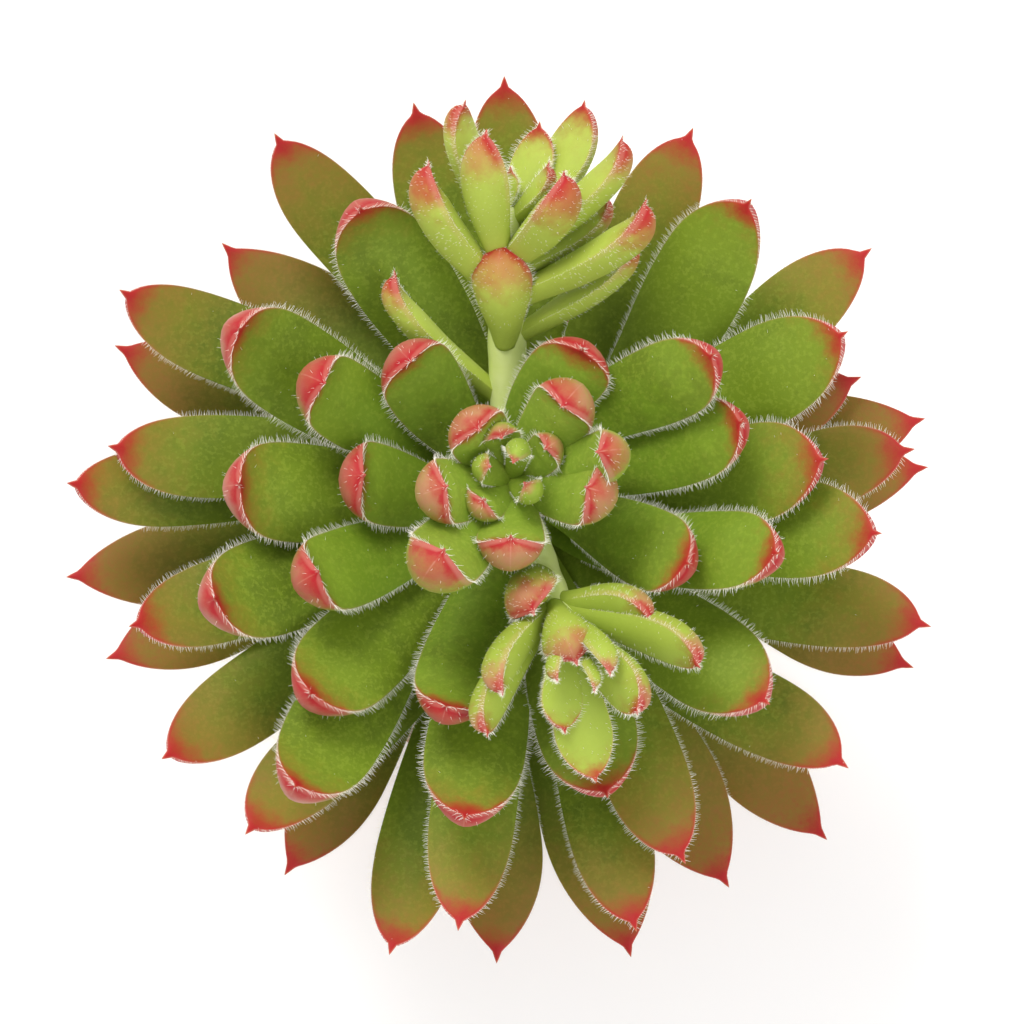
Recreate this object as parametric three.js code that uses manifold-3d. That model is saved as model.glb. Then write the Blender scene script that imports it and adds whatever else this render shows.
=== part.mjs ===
// A rosette succulent with two offsets, growing in a plain round pot.
// Millimetres, +Z up. The origin is the centre of the pot's underside.
import * as THREE from "three";
import { mergeVertices } from "three/addons/utils/BufferGeometryUtils.js";
import Module from "manifold-3d";

const wasm = await Module();
wasm.setup();

// ---- Driving sizes -------------------------------------------------------------------------------------------

// Clear gap between pieces that touch.
const GAP = 0.3;

// Pot.
const POT_HEIGHT = 66;
const POT_RIM_RADIUS = 37;
const POT_BASE_RADIUS = 27;
const POT_WALL = 4.5;
const POT_FLOOR = 5;
const RIM_BAND_HEIGHT = 15;
const RIM_BAND_STEP = 2.5;
const POT_EDGE_CHAMFER = 1;
const POT_SIDES = 36;
const DRAIN_HOLES = 3;
const DRAIN_HOLE_RADIUS = 4;
const DRAIN_CIRCLE_RADIUS = 13;
const DRAIN_SIDES = 12;

// Soil.
const SOIL_BELOW_RIM = 8;
const SOIL_MOUND = 1.5;

// Main stem.
const STEM_RADIUS = 6;
const STEM_TOP_RADIUS = 4;
const STEM_IN_SOIL = 12;
const STEM_SIDES = 14;

// Rosette.
const ROSETTE_RADIUS = 65;
const LOWEST_LEAF_ABOVE_RIM = 4.5;
const LEAFY_STEM_LENGTH = 36;
const LEAF_WIDTH = 14.5;
const LEAF_THICKNESS = 5.4;
const LEAF_BASE_WIDTH = 4.4;
const LEAF_BASE_THICKNESS = 2.2;
const TIP_POINT_LENGTH = 1.3;

// A leaf is widest at this share of its length, is full depth from the next one, and its back rounds up to the tip
// from the last. The back takes most of its thickness and the crown of its face the rest.
const WIDEST_AT = 0.7;
const FULL_DEPTH_AT = 0.6;
const BACK_ROUNDS_FROM = 0.78;
const BACK_SHARE = 0.86;
const BACK_ROUNDNESS = 2.2;

// How finely a leaf is divided: sides round it, and its rings as shares of its length, base to tip.
const LEAF_SIDES = 8;
const LEAF_RINGS = [0, 0, 0.2, 0.42, 0.64, 0.82, 0.93, 0.985, 1];

// Leaves are laid on those beneath. Each is lifted up the stem in steps, and swings at its base or droops a few
// degrees, until it is clear of all the others. Where leaves are crowded it stands up instead, by a droop below 0.
const LIFT_STEP = 0.4;
const LIFT_LIMIT = 8;
const SWINGS = [0, 5, -5, 10, -10, 15, -15, 20, -20, 25, -25];
const DROOPS = [0, 5, 10, 15, 20, 25, -5, -10, -15, -20, -25, -30, -35, -40];

// Each tier, lowest first. Pitch is the rise above level at the leaf's base and turn is how far it curls up by its
// tip, in degrees. Width and thickness are shares of the largest leaf's. Level is where the tier starts on the
// leafy stem, as a share of its length. Each leaf has its compass angle and its reach, in hundredths of the
// rosette's radius.
const LAST_LEVEL = 0.82;
const TIERS = [
  {
    name: "oldest_leaf",
    level: 0,
    pitch: -2,
    turn: 10,
    width: 0.84,
    thickness: 0.72,
    roundness: 1.7,
    leaves: [
      [285, 105], [314, 104], [268, 101], [188, 102], [300, 99], [339, 99], [238, 96], [13, 98],
      [200, 97], [6, 96], [157, 98], [137, 90], [21, 86],
    ],
  },
  {
    name: "outer_leaf",
    level: 0.145,
    pitch: 9,
    turn: 14,
    width: 0.86,
    thickness: 0.78,
    roundness: 1.8,
    leaves: [
      [255, 103], [91, 96], [178, 99], [286, 100], [152, 99], [35, 99], [343, 98], [123, 97], [64, 93],
      [217, 96], [321, 96], [232, 94], [104, 90], [263, 95], [7, 91], [199, 89], [173, 90], [295, 90],
    ],
  },
  {
    name: "middle_leaf",
    level: 0.36,
    pitch: 22,
    turn: 32,
    width: 1,
    thickness: 1,
    roundness: 2.4,
    leaves: [
      [50, 81], [235, 82], [352, 80], [24, 79], [262, 73], [319, 73], [202, 72], [151, 71],
      [119, 70], [287, 71], [4, 68], [227, 65], [181, 62],
    ],
  },
  {
    name: "upper_leaf",
    level: 0.605,
    pitch: 31,
    turn: 44,
    width: 0.81,
    thickness: 0.92,
    roundness: 2.6,
    leaves: [
      [343, 58], [254, 52], [207, 50], [154, 49], [13, 50], [30, 49], [333, 42], [131, 36], [179, 35], [61, 32],
    ],
  },
];

// Half-grown leaves of the heart, joined at the growing tip of the stem. Each has its compass angle, the distance
// of its tip from the axis, its width and its pitch. The heart's dome is the growing tip itself.
const HEART_LEAVES = [
  [232, 18.5, 10.8, 34],
  [8, 15, 7.6, 40],
  [51, 13.5, 9.6, 36],
  [345, 13, 9.4, 36],
  [269, 11.6, 9.4, 36],
  [196, 11.6, 9.4, 38],
  [130, 9, 9, 40],
  [35, 7, 5.6, 40],
  [226, 6.8, 6, 40],
  [107, 6.2, 5.4, 44],
  [169, 4.4, 4.2, 52],
  [314, 3.8, 4.2, 56],
  [72, 2.4, 3.6, 68],
];
const HEART_TURN = 52;
const HEART_ROUNDNESS = 2.6;
const HEART_THICKNESS_SHARE = 0.45;
const HEART_BASE_WIDTH_SHARE = 0.6;
const HEART_BASE_THICKNESS_SHARE = 0.35;
const HEART_DOME_RADIUS = 3.4;
const HEART_DOME_HEIGHT = 6;
const HEART_LEAF_START = 2.6;
const HEART_LEAF_SPACING = 0.4;

// Offsets: a side stem grows from the main stem to a small cupped rosette that leans outwards. Root height is
// above the foot of the leafy stem, and the head is where the small rosette starts. Each leaf has its compass
// angle about the small rosette's own axis (0 is to the right, 90 is away from the main stem), how far along that
// axis it starts, its length, width and pitch.
const OFFSETS = [
  {
    name: "upper_offset",
    angle: 92,
    rootHeight: 25,
    headDistance: 33,
    headHeight: 41,
    lean: 58,
    leaves: [
      [184, -24, 26, 6.4, 45],
      [262, -15, 16.5, 9, 73],
      [5, -14, 23, 6, 28],
      [345, -8, 26, 8, 29],
      [195, -7, 23, 8, 55],
      [20, -5, 19, 6, 23],
      [235, -3, 21, 7.4, 73],
      [325, -2, 18, 8.6, 46],
      [5, -2, 24, 7, 36],
      [45, -1, 24.5, 8, 37],
      [150, 0, 21, 6.4, 67],
      [60, 1, 17.5, 6.4, 41],
      [10, 3, 11, 4.6, 43],
      [60, 4, 7, 2.8, 60],
      [200, 4, 7, 2.6, 74],
    ],
  },
  {
    name: "lower_offset",
    angle: 289,
    rootHeight: 27,
    headDistance: 21,
    headHeight: 42,
    lean: 55,
    leaves: [
      [300, -9, 12.5, 8.6, 48],
      [190, -4, 15.5, 7.4, 32],
      [345, -4, 18.5, 7.2, 43],
      [10, -4, 22, 6.8, 38],
      [172, -3, 22.5, 8, 37],
      [275, -3, 12, 7.4, 73],
      [215, -1, 14.5, 4.6, 65],
      [80, 0, 22, 8.4, 32],
      [150, 0, 17.5, 7.8, 61],
      [60, 1, 14, 6.2, 41],
      [330, 2, 9.5, 3.4, 57],
      [200, 4, 9, 2.8, 77],
    ],
  },
];
const OFFSET_STALK_RADIUS = 2.1;
const OFFSET_STALK_SAG = 1.5;
const OFFSET_STALK_SIDES = 8;
const OFFSET_STALK_STEPS = 10;
const OFFSET_DOME_RADIUS = 2.8;
const OFFSET_DOME_HEIGHT = 8;
const OFFSET_TURN = 28;
const OFFSET_THICKNESS_SHARE = 0.58;
const OFFSET_BASE_WIDTH_SHARE = 0.45;
const OFFSET_BASE_THICKNESS_SHARE = 0.28;
const OFFSET_LEAF_START = 1;
const OFFSET_ROUNDNESS = 2;

// ---- Working sizes -------------------------------------------------------------------------------------------

const soilTop = POT_HEIGHT - SOIL_BELOW_RIM;
const leafyFoot = POT_HEIGHT + LOWEST_LEAF_ABOVE_RIM;
const stemTop = leafyFoot + LEAFY_STEM_LENGTH;
const wallSlope = (POT_RIM_RADIUS - RIM_BAND_STEP - POT_BASE_RADIUS) / POT_HEIGHT;

// ---- Finishes ------------------------------------------------------------------------------------------------

const leafGreen = new THREE.MeshStandardMaterial({ color: 0x7f9e2e, roughness: 0.55, metalness: 0 });
const oldLeaf = new THREE.MeshStandardMaterial({ color: 0xa08a45, roughness: 0.6, metalness: 0 });
const youngLeaf = new THREE.MeshStandardMaterial({ color: 0xa9c55a, roughness: 0.5, metalness: 0 });
const stemGreen = new THREE.MeshStandardMaterial({ color: 0x8a9a55, roughness: 0.75, metalness: 0 });
const soilBrown = new THREE.MeshStandardMaterial({ color: 0x3b2a1e, roughness: 0.95, metalness: 0 });
const terracotta = new THREE.MeshStandardMaterial({ color: 0xb4694a, roughness: 0.85, metalness: 0 });

// ---- Solids --------------------------------------------------------------------------------------------------

const radians = THREE.MathUtils.degToRad;
const UPWARDS = new THREE.Vector3(0, 0, 1);

// A closed three.js geometry as a solid that can be joined and cut.
function solidOf(geometry) {
  const bare = geometry.clone();
  bare.deleteAttribute("normal");
  bare.deleteAttribute("uv");
  const merged = mergeVertices(bare, 1e-4);
  const vertProperties = new Float32Array(merged.getAttribute("position").array);
  const triVerts = new Uint32Array(merged.index.array);
  return new wasm.Manifold(new wasm.Mesh({ numProp: 3, vertProperties, triVerts }));
}

// A solid back as a three.js geometry.
function geometryOf(solid) {
  const mesh = solid.getMesh();
  const geometry = new THREE.BufferGeometry();
  geometry.setAttribute("position", new THREE.BufferAttribute(new Float32Array(mesh.vertProperties), 3));
  geometry.setIndex(new THREE.BufferAttribute(new Uint32Array(mesh.triVerts), 1));
  geometry.computeVertexNormals();
  return geometry;
}

function smoothStep(x) {
  const c = THREE.MathUtils.clamp(x, 0, 1);
  return c * c * (3 - 2 * c);
}

// ---- Leaf ----------------------------------------------------------------------------------------------------

// How far a leaf's centreline has gone outwards and upwards, for one unit of length, at a share of its length.
// Its rise turns from pitch to pitch + turn, most of it near the tip.
function centreline(share, pitch, turn) {
  const steps = 24;
  const at = { out: 0, up: 0, heading: radians(pitch + turn * share ** 3) };
  for (let i = 0; i < steps; i++) {
    const middle = (share * (i + 0.5)) / steps;
    const heading = radians(pitch + turn * middle ** 3);
    at.out += (Math.cos(heading) * share) / steps;
    at.up += (Math.sin(heading) * share) / steps;
  }
  return at;
}

// Half the width of a leaf: narrow at its base, widest past its middle, then rounded off to its tip.
function halfWidth(share, leaf) {
  const body = leaf.baseWidth + (leaf.width - leaf.baseWidth) * smoothStep(share / WIDEST_AT);
  const past = Math.max(0, (share - WIDEST_AT) / (1 - WIDEST_AT));
  return (body / 2) * Math.max(0, 1 - past ** leaf.roundness) ** 0.5;
}

// Depth of the rounded back below the margins: it stays full almost to the tip, which makes a blunt end.
function backDepth(share, leaf) {
  const body = leaf.baseThickness + (leaf.thickness - leaf.baseThickness) * smoothStep(share / FULL_DEPTH_AT);
  const past = Math.max(0, (share - BACK_ROUNDS_FROM) / (1 - BACK_ROUNDS_FROM));
  return BACK_SHARE * body * Math.sqrt(Math.max(0, 1 - past ** BACK_ROUNDNESS));
}

// A leaf lies along +X from the point (start, 0, 0), its flat face up. It is a sphere drawn out along the
// centreline: each circle of latitude becomes a ring of the leaf and the last pole becomes its pointed tip.
// Swing turns the base about the Z axis and leaves the tip where it is.
function leafGeometry(leaf, swell = 0) {
  const rows = LEAF_RINGS.length - 1;
  const sphere = new THREE.SphereGeometry(1, LEAF_SIDES, rows);
  const vertices = sphere.getAttribute("position");
  const corner = new THREE.Vector3();
  const place = new THREE.Vector3();
  for (let i = 0; i < vertices.count; i++) {
    corner.fromBufferAttribute(vertices, i);
    const row = Math.round((Math.acos(corner.y) / Math.PI) * rows);
    const share = LEAF_RINGS[row];
    const line = centreline(share, leaf.pitch, leaf.turn);
    const radius = Math.hypot(corner.x, corner.z);
    const isPole = row === 0 || row === rows;
    const across = isPole ? 0 : corner.x / radius;
    const over = isPole ? 0 : corner.z / radius;
    const crown = ((1 - BACK_SHARE) / BACK_SHARE) * backDepth(share, leaf);
    const rise = (over > 0 ? crown : backDepth(share, leaf)) + swell;
    const side = across * (halfWidth(share, leaf) + swell);
    const lift = over * rise;
    const ahead = row === rows ? TIP_POINT_LENGTH + swell : 0;
    place.set(
      leaf.start + leaf.length * line.out + ahead * Math.cos(line.heading) - lift * Math.sin(line.heading),
      side,
      leaf.length * line.up + ahead * Math.sin(line.heading) + lift * Math.cos(line.heading),
    );
    place.applyAxisAngle(UPWARDS, radians(leaf.swing * (1 - share) ** 2));
    vertices.setXYZ(i, place.x, place.y, place.z);
  }
  sphere.computeVertexNormals();
  return sphere;
}

// ---- Pot and soil --------------------------------------------------------------------------------------------

function outerRadiusAt(height) {
  return POT_BASE_RADIUS + wallSlope * height;
}

function innerRadiusAt(height) {
  return outerRadiusAt(height) - POT_WALL;
}

// The pot is turned about its axis: foot, tapering wall, rim band, then back down the inside to the floor.
function makePot() {
  const bandFoot = POT_HEIGHT - RIM_BAND_HEIGHT;
  const profile = [
    [0, 0],
    [POT_BASE_RADIUS - POT_EDGE_CHAMFER, 0],
    [outerRadiusAt(POT_EDGE_CHAMFER), POT_EDGE_CHAMFER],
    [outerRadiusAt(bandFoot - RIM_BAND_STEP), bandFoot - RIM_BAND_STEP],
    [POT_RIM_RADIUS - 0.4, bandFoot],
    [POT_RIM_RADIUS, POT_HEIGHT - POT_EDGE_CHAMFER],
    [POT_RIM_RADIUS - POT_EDGE_CHAMFER, POT_HEIGHT],
    [innerRadiusAt(POT_HEIGHT) + POT_EDGE_CHAMFER, POT_HEIGHT],
    [innerRadiusAt(POT_HEIGHT), POT_HEIGHT - POT_EDGE_CHAMFER],
    [innerRadiusAt(POT_FLOOR), POT_FLOOR],
    [0, POT_FLOOR],
  ];
  let pot = solidOf(turned(profile, POT_SIDES));
  for (let i = 0; i < DRAIN_HOLES; i++) {
    const angle = radians((360 * i) / DRAIN_HOLES + 90);
    const hole = new THREE.CylinderGeometry(DRAIN_HOLE_RADIUS, DRAIN_HOLE_RADIUS, 3 * POT_FLOOR, DRAIN_SIDES);
    hole.rotateX(Math.PI / 2);
    hole.translate(DRAIN_CIRCLE_RADIUS * Math.cos(angle), DRAIN_CIRCLE_RADIUS * Math.sin(angle), 0);
    pot = pot.subtract(solidOf(hole));
  }
  return geometryOf(pot);
}

// A profile of [radius, height] points, turned about the Z axis.
function turned(profile, sides) {
  const points = profile.map(([radius, height]) => new THREE.Vector2(radius, height));
  const geometry = new THREE.LatheGeometry(points, sides);
  geometry.rotateX(Math.PI / 2);
  return geometry;
}

// Soil fills the pot to just below the rim, with a well that the stem stands in.
function makeSoil() {
  const well = STEM_RADIUS + GAP;
  const foot = POT_FLOOR + GAP;
  return turned(
    [
      [0, foot],
      [innerRadiusAt(foot) - GAP, foot],
      [innerRadiusAt(soilTop) - GAP, soilTop],
      [innerRadiusAt(soilTop) * 0.6, soilTop + SOIL_MOUND * 0.5],
      [well, soilTop + SOIL_MOUND],
      [well, soilTop - STEM_IN_SOIL],
      [0, soilTop - STEM_IN_SOIL],
    ],
    POT_SIDES,
  );
}

// ---- Stem ----------------------------------------------------------------------------------------------------

function stemRadiusAt(height) {
  const share = THREE.MathUtils.clamp((height - leafyFoot) / LEAFY_STEM_LENGTH, 0, 1);
  return STEM_RADIUS + (STEM_TOP_RADIUS - STEM_RADIUS) * share;
}

function makeStem(swell = 0) {
  const foot = soilTop - STEM_IN_SOIL + GAP;
  return turned(
    [
      [0, foot],
      [STEM_RADIUS + swell, foot],
      [STEM_RADIUS + swell, leafyFoot],
      [STEM_TOP_RADIUS + swell, stemTop],
      [0, stemTop],
    ],
    STEM_SIDES,
  );
}

// ---- Heart and offsets ---------------------------------------------------------------------------------------

// A leaf of the heart or of an offset, with its base on the Z axis, leaning out along its compass angle.
function youngLeafSolid(angle, height, shape, swell = 0) {
  const geometry = leafGeometry({ start: 0, swing: 0, ...shape }, swell);
  geometry.rotateZ(radians(angle));
  geometry.translate(0, 0, height);
  return solidOf(geometry);
}

// The rounded growing tip that young leaves join, standing on the XY plane.
function domeSolid(radius, height) {
  const dome = new THREE.SphereGeometry(1, 12, 8);
  dome.rotateX(Math.PI / 2);
  dome.scale(radius, radius, height / 2);
  dome.translate(0, 0, height / 2);
  return solidOf(dome);
}

// The heart's dome stands on the stem's end. Its leaves start higher by the lift that clears the leaves below.
function makeHeart(lift, swell = 0) {
  let heart = domeSolid(HEART_DOME_RADIUS, HEART_DOME_HEIGHT + lift);
  HEART_LEAVES.forEach(([angle, reach, width, pitch], i) => {
    const shape = {
      length: (reach - TIP_POINT_LENGTH) / centreline(1, pitch, HEART_TURN).out,
      width,
      thickness: width * HEART_THICKNESS_SHARE,
      baseWidth: width * HEART_BASE_WIDTH_SHARE,
      baseThickness: width * HEART_BASE_THICKNESS_SHARE,
      pitch,
      turn: HEART_TURN,
      roundness: HEART_ROUNDNESS,
    };
    const height = HEART_LEAF_START + lift + HEART_LEAF_SPACING * i;
    heart = heart.add(youngLeafSolid(angle, height, shape, swell));
  });
  return heart.translate([0, 0, stemTop + GAP]);
}

// The side stem bends from its root in the main stem, where it is cut to fit, to the foot of the small rosette.
function makeStalk(offset, root, head, axis) {
  const middle = root.clone().lerp(head, 0.55);
  middle.z -= OFFSET_STALK_SAG;
  const past = head.clone().addScaledVector(axis, OFFSET_DOME_HEIGHT / 2);
  const path = new THREE.CatmullRomCurve3([root, middle, head, past]);
  const section = new THREE.Shape();
  section.absarc(0, 0, OFFSET_STALK_RADIUS, 0, 2 * Math.PI);
  const stalk = new THREE.ExtrudeGeometry(section, {
    steps: OFFSET_STALK_STEPS,
    curveSegments: OFFSET_STALK_SIDES / 2,
    extrudePath: path,
  });
  return solidOf(stalk);
}

function makeOffset(offset) {
  const rootHeight = leafyFoot + offset.rootHeight;
  const root = new THREE.Vector3(stemRadiusAt(rootHeight) / 2, 0, rootHeight);
  const head = new THREE.Vector3(offset.headDistance, 0, leafyFoot + offset.headHeight);
  const lean = radians(offset.lean);
  const axis = new THREE.Vector3(Math.sin(lean), 0, Math.cos(lean));
  let rosette = domeSolid(OFFSET_DOME_RADIUS, OFFSET_DOME_HEIGHT);
  for (const [angle, height, length, width, pitch] of offset.leaves) {
    const shape = {
      length,
      width,
      thickness: width * OFFSET_THICKNESS_SHARE,
      baseWidth: width * OFFSET_BASE_WIDTH_SHARE,
      baseThickness: width * OFFSET_BASE_THICKNESS_SHARE,
      pitch,
      turn: OFFSET_TURN,
      roundness: OFFSET_ROUNDNESS,
    };
    rosette = rosette.add(youngLeafSolid(angle - 90, height + OFFSET_LEAF_START, shape));
  }
  const placed = new THREE.Matrix4().makeRotationY(lean).setPosition(head);
  const whole = rosette.transform(placed.elements).add(makeStalk(offset, root, head, axis));
  return whole.rotate([0, 0, offset.angle]).subtract(solidOf(makeStem(GAP)));
}

// ---- Laying leaves on each other -----------------------------------------------------------------------------

const laid = [];

function boxesMeet(a, b) {
  return [0, 1, 2].every((k) => a.min[k] <= b.max[k] && b.min[k] <= a.max[k]);
}

function isClear(solid) {
  const box = solid.boundingBox();
  const near = laid.filter((other) => boxesMeet(box, other.box));
  return near.every((other) => solid.intersect(other.solid).isEmpty());
}

function keep(solid) {
  laid.push({ solid, box: solid.boundingBox() });
}

function placedLeaf(leaf, angle, height, swell) {
  const geometry = leafGeometry(leaf, swell);
  geometry.rotateZ(radians(angle));
  geometry.translate(0, 0, height);
  return geometry;
}

// The leaf that a tier's sizes give from a base height to a reach.
function leafOf(tier, reach, height, droop, swing) {
  const pitch = tier.pitch - droop;
  const start = stemRadiusAt(height) + GAP;
  return {
    start,
    length: (reach - start) / centreline(1, pitch, tier.turn).out - TIP_POINT_LENGTH,
    width: LEAF_WIDTH * tier.width,
    thickness: LEAF_THICKNESS * tier.thickness,
    baseWidth: LEAF_BASE_WIDTH,
    baseThickness: LEAF_BASE_THICKNESS,
    pitch,
    turn: tier.turn,
    roundness: tier.roundness,
    swing,
  };
}

// Puts one leaf on the stem in the first free place at or above the height asked for.
function layLeaf(tier, angle, reach, height) {
  const room = Math.min(LIFT_LIMIT, stemTop - LEAF_BASE_THICKNESS - height);
  for (const droop of DROOPS) {
    for (let lift = 0; lift < room; lift += LIFT_STEP) {
      for (const swing of SWINGS) {
        const leaf = leafOf(tier, reach, height + lift, droop, swing);
        if (isClear(solidOf(placedLeaf(leaf, angle, height + lift, GAP)))) {
          const geometry = placedLeaf(leaf, angle, height + lift, 0);
          keep(solidOf(geometry));
          return geometry;
        }
      }
    }
  }
  throw new Error("no free place on the stem for a leaf at " + angle + " degrees");
}

// ---- Assembly ------------------------------------------------------------------------------------------------

const plant = new THREE.Group();

function addPiece(name, geometry, material) {
  const mesh = new THREE.Mesh(geometry, material);
  mesh.name = name;
  plant.add(mesh);
}

const pot = makePot();
keep(solidOf(pot));
addPiece("pot", pot, terracotta);
addPiece("soil", makeSoil(), soilBrown);
const stem = makeStem();
addPiece("stem", stem, stemGreen);

// The offsets come first, and the leaves find their places round them.
for (const offset of OFFSETS) {
  const solid = makeOffset(offset);
  keep(solid);
  addPiece(offset.name, geometryOf(solid), youngLeaf);
}

TIERS.forEach((tier, t) => {
  const next = t + 1 < TIERS.length ? TIERS[t + 1].level : LAST_LEVEL;
  tier.leaves.forEach(([angle, reach], i) => {
    const share = tier.level + ((next - tier.level) * i) / tier.leaves.length;
    const height = leafyFoot + LEAFY_STEM_LENGTH * share;
    const name = tier.name + "_" + String(i + 1).padStart(2, "0");
    const geometry = layLeaf(tier, angle, (reach / 100) * ROSETTE_RADIUS, height);
    addPiece(name, geometry, t === 0 ? oldLeaf : leafGreen);
  });
});

// The heart is laid last, on the stem's end and the leaves round it.
keep(solidOf(stem));
let heartLift = 0;
while (heartLift < LIFT_LIMIT && !isClear(makeHeart(heartLift, GAP))) heartLift += LIFT_STEP;
addPiece("heart", geometryOf(makeHeart(heartLift)), leafGreen);

export default plant;
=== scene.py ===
"""A hairy rosette succulent with two offsets, growing in a plain clay pot.

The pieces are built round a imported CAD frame, in metres. Sizes named here are in millimetres."""

import math
import random

import bmesh
import bpy
import numpy as np
from bpy.props import FloatProperty, FloatVectorProperty, IntProperty, PointerProperty
from mathutils import Matrix, Vector, noise


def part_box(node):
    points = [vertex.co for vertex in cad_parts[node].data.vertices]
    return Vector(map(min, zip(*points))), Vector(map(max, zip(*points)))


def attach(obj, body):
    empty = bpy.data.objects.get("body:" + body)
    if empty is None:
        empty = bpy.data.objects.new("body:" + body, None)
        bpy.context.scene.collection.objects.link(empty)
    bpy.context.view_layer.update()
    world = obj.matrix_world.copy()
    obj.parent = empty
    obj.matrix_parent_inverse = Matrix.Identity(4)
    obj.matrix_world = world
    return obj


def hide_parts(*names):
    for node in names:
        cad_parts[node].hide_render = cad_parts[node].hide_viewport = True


bl_info = {
    "name": "Potted rosette succulent",
    "version": (1, 0, 0),
    "blender": (4, 5, 0),
    "location": "View3D > Sidebar > Succulent",
    "description": "Builds a hairy rosette succulent in a clay pot round its CAD frame",
    "category": "Object",
}

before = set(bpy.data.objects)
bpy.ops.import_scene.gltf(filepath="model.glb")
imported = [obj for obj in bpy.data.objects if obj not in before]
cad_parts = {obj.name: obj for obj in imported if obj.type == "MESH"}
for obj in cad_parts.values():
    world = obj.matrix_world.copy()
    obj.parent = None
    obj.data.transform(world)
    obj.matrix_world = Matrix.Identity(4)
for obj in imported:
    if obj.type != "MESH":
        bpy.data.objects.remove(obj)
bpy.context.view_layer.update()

MM = 0.001
UP = Vector((0, 0, 1))
BODY = "root"

# ---- Forms of the leaves -------------------------------------------------------------------------

# How the end of a leaf is rounded, how far its sides narrow to a point, the length and half-width
# of its red point, how far its end curls up beyond the frame's line and from which share of its
# length, how plump its face is, how full it stays towards its base, its age, the length of its
# hairs as a share and how many grow on its skin.
FORMS = {
    "oldest_leaf": dict(
        round=2.0, taper=0.76, point=1.8, spike=0.7, curl=4, curl_from=0.7, plump=0.2,
        full=0.8, age=0.95, hair=0.5, down=0,
    ),
    "outer_leaf": dict(
        round=2.7, taper=0.62, point=1.9, spike=0.7, curl=18, curl_from=0.7, plump=0.28,
        full=0.6, age=0.6, hair=0.75, down=20,
    ),
    "middle_leaf": dict(
        round=2.8, taper=0.7, point=1.5, spike=0.5, curl=35, curl_from=0.66, plump=0.34,
        full=0.5, age=0.32, hair=1.0, down=60,
    ),
    "upper_leaf": dict(
        round=2.9, taper=0.68, point=1.2, spike=0.4, curl=38, curl_from=0.6, plump=0.38,
        full=0.5, age=0.16, hair=1.0, down=80,
    ),
    "heart_leaf": dict(
        round=2.8, taper=0.7, point=0.9, spike=0.35, curl=38, curl_from=0.35, plump=0.36,
        full=0.3, age=0.07, hair=0.85, down=90,
    ),
    "offset_leaf": dict(
        round=1.9, taper=0.66, point=1.0, spike=0.42, curl=10, curl_from=0.6, plump=0.3,
        full=0.0, age=0.0, hair=0.8, down=300,
    ),
}
TIERS = ("oldest_leaf", "outer_leaf", "middle_leaf", "upper_leaf")
SKIN_LAYERS = ("from_tip", "from_edge", "from_keel", "back", "age", "tint")
WIDEST_AT = 0.7
CAD_LEAF_SIDES = 8

# The plant leans to one side, so the leaves on that side curl most: the compass angle of that side,
# and the share of curl on the other.
LEANS_TO = 170
LEAST_CURL = -0.55

# The oldest leaves are this many times as wide as in the frame, and wider by a further share where
# two of them lie apart, round a compass angle.
OLDEST_WIDENED = 1.14
GAP_WIDENED = 0.18
GAP_AT = 276

# Half-grown leaves of the heart: compass angle, reach from the axis, width and pitch.
HEART_LEAVES = [
    (232, 18.5, 10.8, 34),
    (8, 15, 7.6, 40),
    (51, 13.5, 9.6, 36),
    (345, 13, 9.4, 36),
    (269, 11.6, 9.4, 36),
    (196, 11.6, 9.4, 38),
    (130, 9, 9, 40),
    (35, 7, 5.6, 40),
    (226, 6.8, 6, 40),
    (107, 6.2, 5.4, 44),
    (169, 4.4, 4.2, 52),
    (314, 3.8, 4.2, 56),
    (72, 2.4, 3.6, 68),
]
HEART_TURN = 52
HEART_LEAF_START = 3.0
HEART_LEAF_SPACING = 0.4
HEART_THICKNESS_SHARE = 0.55
HEART_BASE_SHARE = 0.6
HEART_STEPS = 24

# Leaves of the heart that reach less far than the first of these become buds, fully so at the
# second.
BUD_REACHES = (8, 4)

# The offsets: where each side stem leaves the main stem and where its small rosette starts, its
# lean, and its leaves' compass angle, place along its axis, length, width and pitch. Heights are
# above the leafy stem's foot.
OFFSETS = {
    "upper_offset": dict(
        angle=92,
        root_height=25,
        head_distance=33,
        head_height=41,
        lean=58,
        leaves=[
            (184, -24, 26, 6.4, 45),
            (262, -15, 16.5, 8.6, 73),
            (5, -14, 23, 6, 28),
            (345, -8, 26, 8, 29),
            (195, -7, 23, 8, 55),
            (20, -5, 19, 6, 23),
            (235, -3, 21, 7.4, 73),
            (325, -2, 18, 8.6, 46),
            (5, -2, 24, 7, 36),
            (45, -1, 24.5, 8, 37),
            (150, 0, 21, 6.4, 67),
            (60, 1, 17.5, 6.4, 41),
            (10, 3, 11, 4.6, 43),
            (60, 4, 7, 2.8, 60),
            (200, 4, 7, 2.6, 74),
        ],
    ),
    "lower_offset": dict(
        angle=289,
        root_height=27,
        head_distance=21,
        head_height=42,
        lean=55,
        leaves=[
            (300, -9, 12.5, 8.6, 48),
            (190, -4, 15.5, 7.4, 32),
            (345, -4, 18.5, 7.2, 43),
            (10, -4, 22, 6.8, 38),
            (172, -3, 22.5, 8, 37),
            (275, -3, 12, 7.4, 73),
            (215, -1, 14.5, 4.6, 65),
            (80, 0, 22, 8.2, 39),
            (150, 0, 17.5, 7.8, 61),
            (60, 1, 14, 6.2, 41),
            (330, 2, 9.5, 3.4, 57),
            (200, 4, 9, 2.8, 77),
        ],
    ),
}
LEAFY_FOOT_ABOVE_RIM = 4.5
STALK_RADIUS = 2.6
STALK_START = 2.5
STALK_SAG = 1.5
STALK_PAST_HEAD = 7
OFFSET_TURN = 28
OFFSET_THICKNESS_SHARE = 0.58
OFFSET_BASE_SHARE = 0.45
OFFSET_LEAF_START = 1


# ---- Settings ------------------------------------------------------------------------------------


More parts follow.
